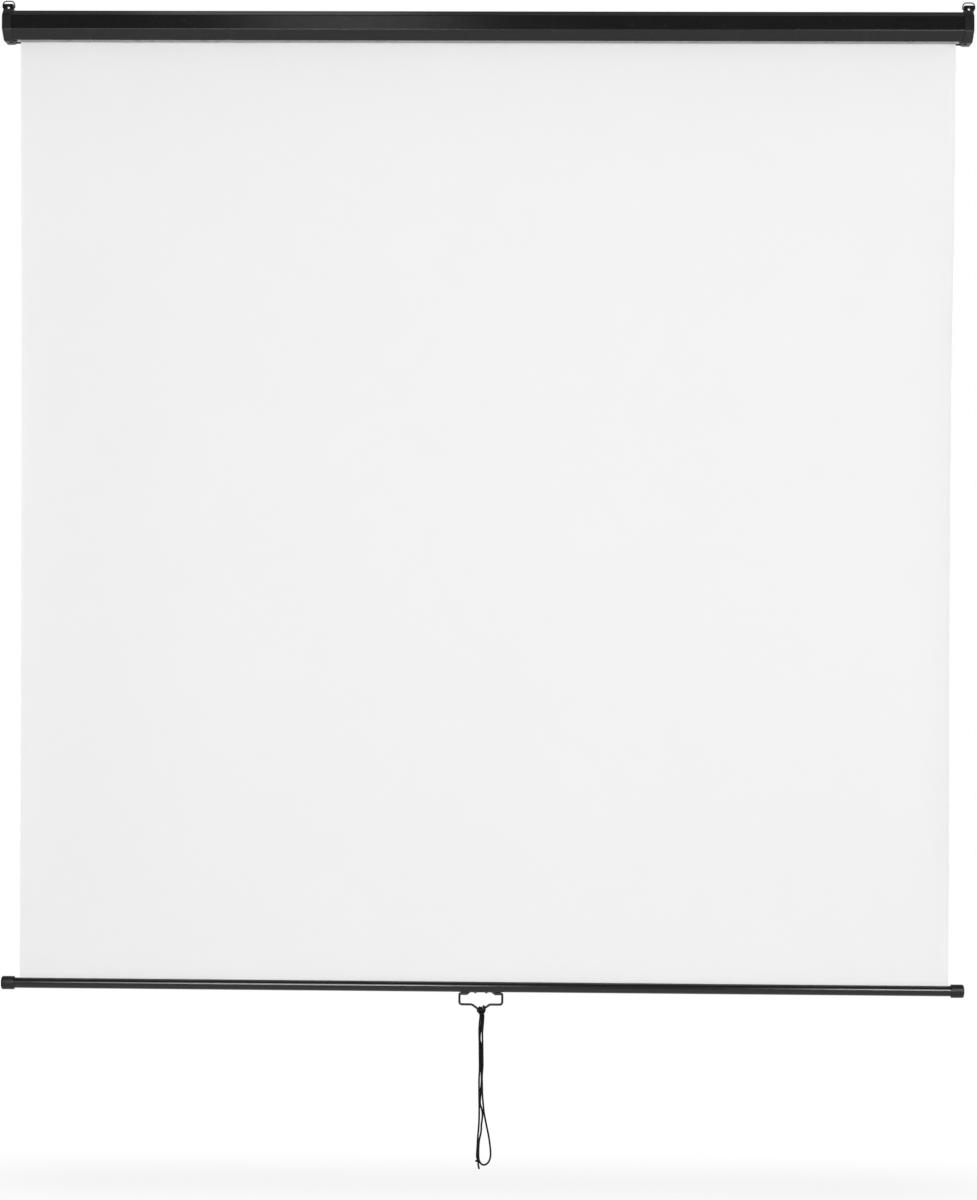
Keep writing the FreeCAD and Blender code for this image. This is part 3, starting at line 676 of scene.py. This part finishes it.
def wire(name, pivot, half_route, half_radii, radius, body, node):
    """A round wire bent evenly to both sides of its pivot, from (x, z) pairs, that stands for a node."""
    route = half_route + [(-x, z) for x, z in reversed(half_route)]
    path = bent_path([pivot + Vector((x, 0, z)) for x, z in route], half_radii + half_radii[::-1])
    skin = loft(tube_loops(path, radius, WIRE_SIDES))
    add_piece(name, *skin, "black_wire", body, [node], BENT_SHARP)


half_handle = [
    (HANDLE_PIN, 0), (HANDLE_HALF_WIDTH, 0), (HANDLE_HALF_WIDTH, -HANDLE_DROP),
    (DIP_SHOULDER, -HANDLE_DROP), (DIP_HALF_WIDTH, -HANDLE_DROP - HANDLE_DIP),
]
wire("bail_wire", handle_pivot, half_handle, HANDLE_CORNERS, WIRE_RADIUS, "handle", "wire_handle")

half_ring = [(RING_PIN, 0), (RING_LEG, 0), (RING_LEG, RING_RISE)]
for side_name in SIDES:
    ring_pivot = Vector(joints[side_name + "_ring_fold"]["pos_m"])
    wire(
        "ring_wire_" + side_name, ring_pivot, half_ring, RING_CORNERS, RING_RADIUS,
        "ring_" + side_name, "hanger_ring_" + side_name,
    )


# Pull cord, points (x, y, z) given from the middle of the handle's dip, in the order of its length
TUCKED_END = [
    (-0.0008, 0.0095, 0.0024), (-0.0005, 0.0090, -0.0018), (0.0008, 0.0070, -0.0066),
]
MIDDLE_STRAND = [
    (0.0024, 0.0032, -0.0120), (0.0019, 0.0021, -0.0182), (0.0014, 0.0018, -0.0255),
    (0.0008, 0.0018, -0.0330), (0.0004, 0.0018, -0.0402), (-0.0010, 0.0020, -0.0468),
    (-0.0014, 0.0021, -0.0524), (-0.0014, 0.0021, -0.0590), (0.0004, 0.0019, -0.0650),
    (0.0010, 0.0018, -0.0710), (0.0011, 0.0018, -0.0800), (0.0012, 0.0018, -0.0910),
    (0.0014, 0.0018, -0.1000), (0.0015, 0.0018, -0.1080), (0.0015, 0.0018, -0.1155),
    (0.0020, 0.0019, -0.1230), (0.0023, 0.0020, -0.1310), (0.0023, 0.0020, -0.1385),
    (0.0018, 0.0020, -0.1465), (0.0010, 0.0019, -0.1540), (0.0006, 0.0019, -0.1620),
    (0.0003, 0.0020, -0.1700), (-0.0004, 0.0021, -0.1775), (0.0002, 0.0021, -0.1845),
    (0.0029, 0.0020, -0.1920), (0.0046, 0.0020, -0.2005), (0.0043, 0.0021, -0.2085),
    (0.0035, 0.0022, -0.2160), (0.0024, 0.0024, -0.2235), (0.0025, 0.0025, -0.2315),
    (0.0016, 0.0026, -0.2395), (-0.0002, 0.0027, -0.2470), (-0.0017, 0.0029, -0.2550),
    (-0.0023, 0.0031, -0.2625), (-0.0026, 0.0032, -0.2705), (-0.0027, 0.0034, -0.2785),
    (-0.0026, 0.0035, -0.2860),
]
LOOP_BOTTOM = [
    (-0.0014, 0.0030, -0.2932), (0.0024, 0.0016, -0.2992), (0.0092, 0.0000, -0.3010),
    (0.0168, -0.0012, -0.2956),
]
RIGHT_STRAND = [
    (0.0202, -0.0016, -0.2870), (0.0209, -0.0017, -0.2785), (0.0205, -0.0018, -0.2705),
    (0.0196, -0.0019, -0.2625), (0.0185, -0.0020, -0.2545), (0.0173, -0.0020, -0.2470),
    (0.0159, -0.0021, -0.2390), (0.0143, -0.0021, -0.2315), (0.0126, -0.0021, -0.2238),
    (0.0109, -0.0020, -0.2160), (0.0093, -0.0020, -0.2080), (0.0078, -0.0019, -0.2005),
    (0.0068, -0.0019, -0.1930), (0.0061, -0.0018, -0.1850), (0.0054, -0.0018, -0.1775),
    (0.0047, -0.0018, -0.1695), (0.0041, -0.0018, -0.1620), (0.0039, -0.0018, -0.1540),
    (0.0037, -0.0018, -0.1465), (0.0035, -0.0018, -0.1385), (0.0032, -0.0018, -0.1310),
    (0.0035, -0.0018, -0.1230), (0.0042, -0.0018, -0.1155), (0.0046, -0.0018, -0.1075),
    (0.0046, -0.0018, -0.1000), (0.0044, -0.0018, -0.0910), (0.0042, -0.0018, -0.0800),
    (0.0041, -0.0018, -0.0700), (0.0039, -0.0018, -0.0620), (0.0037, -0.0018, -0.0550),
    (0.0035, -0.0018, -0.0480), (0.0035, -0.0018, -0.0415), (0.0041, -0.0018, -0.0345),
    (0.0048, -0.0018, -0.0265), (0.0054, -0.0018, -0.0185), (0.0056, -0.0018, -0.0124),
]
# Up behind the bight, two turns round the wire, the bight in front, and one turn back over the wire
HITCH = [
    (0.0055, 0.0003, -0.0096), (0.0036, 0.0035, -0.0070), (0.0016, 0.0052, -0.0024),
    (0.0009, 0.0048, 0.0022), (0.0013, 0.0019, 0.0051), (0.0016, -0.0024, 0.0046),
    (0.0022, -0.0048, 0.0002), (0.0036, -0.0025, -0.0045), (0.0050, 0.0025, -0.0033),
    (0.0056, 0.0049, 0.0019), (0.0047, 0.0026, 0.0071), (0.0060, -0.0023, 0.0082),
    (0.0079, -0.0052, 0.0044), (0.0083, -0.0060, -0.0004), (0.0054, -0.0059, -0.0054),
    (0.0016, -0.0058, -0.0080), (-0.0026, -0.0057, -0.0054), (-0.0066, -0.0054, -0.0008),
    (-0.0049, -0.0051, 0.0029), (-0.0024, -0.0025, 0.0055), (-0.0021, 0.0024, 0.0052),
    (-0.0026, 0.0049, 0.0008), (-0.0022, 0.0040, -0.0036), (-0.0015, 0.0020, -0.0070),
    (-0.0008, -0.0006, -0.0096),
]
LEFT_LEG = [
    (-0.0008, -0.0016, -0.0124), (-0.0015, -0.0017, -0.0178), (-0.0021, -0.0017, -0.0240),
    (-0.0026, -0.0017, -0.0310), (-0.0029, -0.0017, -0.0380), (-0.0028, -0.0018, -0.0450),
    (-0.0026, -0.0018, -0.0530), (-0.0023, -0.0018, -0.0610), (-0.0021, -0.0017, -0.0700),
    (-0.0020, -0.0017, -0.0800), (-0.0019, -0.0017, -0.0910), (-0.0017, -0.0017, -0.1000),
    (-0.0015, -0.0017, -0.1090), (-0.0016, -0.0017, -0.1170), (-0.0020, -0.0017, -0.1245),
    (-0.0024, -0.0017, -0.1320), (-0.0025, -0.0017, -0.1400), (-0.0024, -0.0017, -0.1480),
    (-0.0023, -0.0017, -0.1560), (-0.0022, -0.0017, -0.1640), (-0.0021, -0.0018, -0.1720),
    (-0.0019, -0.0018, -0.1800), (-0.0017, -0.0018, -0.1880), (-0.0017, -0.0018, -0.1960),
    (-0.0018, -0.0018, -0.2040), (-0.0019, -0.0018, -0.2120), (-0.0022, -0.0018, -0.2200),
    (-0.0027, -0.0018, -0.2280), (-0.0033, -0.0018, -0.2355), (-0.0040, -0.0018, -0.2430),
    (-0.0045, -0.0018, -0.2510), (-0.0048, -0.0018, -0.2590), (-0.0052, -0.0018, -0.2670),
    (-0.0057, -0.0018, -0.2750), (-0.0060, -0.0020, -0.2810), (-0.0059, -0.0024, -0.2854),
]
END_KNOT = [
    (-0.0048, -0.0038, -0.2876), (-0.0033, -0.0053, -0.2890), (-0.0019, -0.0030, -0.2904),
    (-0.0040, 0.0001, -0.2915), (-0.0071, -0.0006, -0.2923), (-0.0078, -0.0034, -0.2920),
    (-0.0057, -0.0055, -0.2918), (-0.0028, -0.0045, -0.2937), (-0.0022, -0.0018, -0.2956),
    (-0.0031, -0.0011, -0.2972), (-0.0031, -0.0020, -0.2994),
]
TAIL = [
    (-0.0027, -0.0022, -0.3016), (-0.0021, -0.0022, -0.3040), (-0.0016, -0.0022, -0.3060),
    (-0.0013, -0.0022, -0.3076),
]


def cord_line(points):
    """The smooth line that a route's points control, read from its spline."""
    curve = bpy.data.curves.new("cord_route", "CURVE")
    curve.dimensions = "3D"
    spline = curve.splines.new("NURBS")
    spline.points.add(len(points) - 1)
    for point, at in zip(spline.points, points):
        point.co = (*at, 1)
    spline.order_u = 3
    spline.use_endpoint_u = True
    spline.resolution_u = SPLINE_STEPS
    holder = bpy.data.objects.new("cord_route", curve)
    line = bpy.data.meshes.new_from_object(holder)
    found = [v.co.copy() for v in line.vertices]
    bpy.data.objects.remove(holder)
    bpy.data.curves.remove(curve)
    bpy.data.meshes.remove(line)
    return found


def pull_cord():
    """One braided cord: tucked end, hanging loop, hitch round the dip, leg, end knot and tail."""
    route = TUCKED_END + MIDDLE_STRAND + LOOP_BOTTOM + RIGHT_STRAND + HITCH + LEFT_LEG + END_KNOT + TAIL
    line = cord_line([dip + Vector(p) for p in route])
    points, faces = loft(tube_loops(line, CORD_DIAMETER / 2, CORD_SIDES))
    cord_nodes = frame["record"]["physics"]["cord_nodes"]
    cord = add_piece("pull_cord", points, faces, "black_cord", "cord", cord_nodes, BENT_SHARP)
    lengths = [0.0]
    for a, b in zip(line, line[1:]):
        lengths.append(lengths[-1] + (b - a).length)
    braid = cord.data.uv_layers.new(name="braid")
    for face in cord.data.polygons:
        columns = [cord.data.loops[n].vertex_index % CORD_SIDES for n in face.loop_indices]
        wraps = max(columns) - min(columns) > 1
        for n, column in zip(face.loop_indices, columns):
            ring = cord.data.loops[n].vertex_index // CORD_SIDES
            around = CORD_SIDES if wraps and column == 0 else column
            braid.data[n].uv = (around / CORD_SIDES, lengths[ring] / CORD_DIAMETER / BRAID_REPEAT)


pull_cord()


# Stage, light and camera

# Floor: its gap below the part, its size and colour, and the painted shadow under the object: how much of the
# floor there shows its dimmer lit colour in place of white, with the object's real shadow in it, and where, as an
# axis, what is added to it, and the distances at which the painted shadow starts to fade and is gone
FLOOR_GAP = 0.015
FLOOR_SIZE = 30.0
FLOOR_COLOR = (0.9, 0.9, 0.9)
PAINTED_SHADOW_SHARE = 0.17
PAINTED_SHADOW_FIELD = [("X", 0.0, 0.7, 1.3), ("Y", 0.09, 0.0, 0.31)]

# Light all round, and the room that gloss shows: its level in front, and the power by which it rises to
# white behind the object
AMBIENT = 0.33
ROOM_FRONT = 0.1
ROOM_RISE = 3.0

# Lamps as name, place, aim, size and power in watts: lights that gloss doesn't show, and cards that only
# gloss shows
SOFT_LIGHTS = [
    ("front_fill", (0.0, -8.0, -1.2), (0.0, 0.0, -1.0), (3.2, 2.6), 355),
    ("side_fill", (8.0, -6.0, -1.2), (0.0, 0.0, -1.0), (2.6, 2.6), 170),
    ("back_fill", (-0.8, 7.0, -1.5), (0.0, 0.0, -1.0), (3.2, 2.6), 205),
    ("top_softbox", (0.0, -0.3, 2.0), (0.0, -0.1, -1.0), (2.2, 0.8), 8),
]
GLOSS_CARDS = [
    ("far_left_card", (-0.935, -1.5, -1.13), (-0.82, 0.0, -1.5), (0.39, 0.6), 7.5),
    ("left_card", (-0.42, -1.5, -1.13), (-0.305, 0.0, -1.5), (0.64, 0.6), 23),
    ("right_card", (1.15, -1.5, -1.16), (0.82, 0.0, -1.5), (0.55, 0.5), 24),
    ("upper_card", (-0.47, -3.0, 0.61), (-0.3, 0.0, -0.5), (0.6, 0.4), 1.7),
    ("ceiling_card", (-0.6, 0.39, 1.98), (-0.4, -0.06, 0.0), (0.67, 0.6), 0.9),
]


def white_for_eye(tree):
    """One for what the camera sees directly, in a gloss or through glass, and otherwise zero."""
    rays = add_node(tree, "ShaderNodeLightPath").outputs
    plain = calculate(tree, "MAXIMUM", rays["Is Camera Ray"], rays["Is Glossy Ray"])
    return calculate(tree, "MAXIMUM", plain, rays["Is Transmission Ray"])


def floor():
    """A pale floor just under the cord, white to the eye but for a band of painted shadow under the object, in
    which its real soft shadow shows.
    """
    half = FLOOR_SIZE / 2
    z = cad_low.z - FLOOR_GAP
    corners = [(-half, -half, z), (half, -half, z), (half, half, z), (-half, half, z)]
    mesh = bpy.data.meshes.new("floor")
    mesh.from_pydata(corners, [], [(0, 1, 2, 3)])
    plane = bpy.data.objects.new("floor", mesh)
    bpy.context.scene.collection.objects.link(plane)
    matt = {"Specular IOR Level": 0.0}
    material, tree, shader = new_material("floor", FLOOR_COLOR, roughness=1.0, more=matt)
    glow = add_node(tree, "ShaderNodeEmission", {"Color": (1, 1, 1, 1), "Strength": 1.0})
    parts = add_node(tree, "ShaderNodeSeparateXYZ", {"Vector": place(tree)}).outputs
    # Painted shadow: a share of lit floor in place of white, fading out with distance from under the object
    shade = PAINTED_SHADOW_SHARE
    for axis, shift, near, far in PAINTED_SHADOW_FIELD:
        away = calculate(tree, "ABSOLUTE", calculate(tree, "ADD", parts[axis], shift))
        fade = remap(tree, away, near, far, 1.0, 0.0, "SMOOTHSTEP")
        shade = calculate(tree, "MULTIPLY", fade, shade)
    plain = calculate(tree, "SUBTRACT", 1.0, shade)
    white = calculate(tree, "MULTIPLY", white_for_eye(tree), plain)
    links = {"Fac": white, 1: shader.outputs[0], 2: glow.outputs[0]}
    mix = add_node(tree, "ShaderNodeMixShader", links)
    tree.links.new(mix.outputs[0], tree.nodes["Material Output"].inputs["Surface"])
    mesh.materials.append(material)


def surroundings():
    """A white backdrop to the eye, a darker room in front for reflections, and soft light all round."""
    world = bpy.data.worlds.new("studio")
    bpy.context.scene.world = world
    world.use_nodes = True
    tree = world.node_tree
    back = tree.nodes["Background"]
    way = add_node(tree, "ShaderNodeTexCoord").outputs["Generated"]
    parts = add_node(tree, "ShaderNodeSeparateXYZ", {"Vector": way}).outputs
    behind = remap(tree, parts["Y"], -1.0, 1.0, 0.0, 1.0)
    room = remap(tree, calculate(tree, "POWER", behind, ROOM_RISE), 0.0, 1.0, ROOM_FRONT, 1.0)
    rays = add_node(tree, "ShaderNodeLightPath").outputs
    seen = calculate(tree, "MAXIMUM", rays["Is Camera Ray"], room)
    links = {"Factor": white_for_eye(tree), 2: AMBIENT, 3: seen}
    level = add_node(tree, "ShaderNodeMix", links).outputs[0]
    back.inputs["Color"].default_value = (1, 1, 1, 1)
    tree.links.new(level, back.inputs["Strength"])


def lamp(name, at, aim, size, power, mirrored):
    """A rectangular lamp aimed at a point: a card that only gloss shows, or a light that it doesn't."""
    light = bpy.data.lights.new(name, "AREA")
    light.shape = "RECTANGLE"
    light.size, light.size_y = size
    light.energy = power
    holder = bpy.data.objects.new(name, light)
    bpy.context.scene.collection.objects.link(holder)
    holder.location = at
    holder.rotation_euler = (Vector(aim) - Vector(at)).to_track_quat("-Z", "Y").to_euler()
    holder.visible_glossy = mirrored
    holder.visible_diffuse = not mirrored


def camera():
    """The camera at the photograph's place."""
    data = bpy.data.cameras.new("camera")
    data.sensor_width = SENSOR
    data.lens = FOCAL_PIXELS * SENSOR / IMAGE_HEIGHT
    holder = bpy.data.objects.new("camera", data)
    bpy.context.scene.collection.objects.link(holder)
    turn = Matrix.Rotation(CAMERA_YAW, 4, "Z") @ Matrix.Rotation(CAMERA_PITCH, 4, "X")
    turn = turn @ Matrix.Rotation(CAMERA_ROLL, 4, "Y") @ Matrix.Rotation(math.pi / 2, 4, "X")
    holder.matrix_world = Matrix.Translation(CAMERA_PLACE) @ turn
    bpy.context.scene.camera = holder


floor()
surroundings()
for row in SOFT_LIGHTS:
    lamp(*row, mirrored=False)
for row in GLOSS_CARDS:
    lamp(*row, mirrored=True)
camera()
bpy.context.scene.view_settings.view_transform = "Standard"
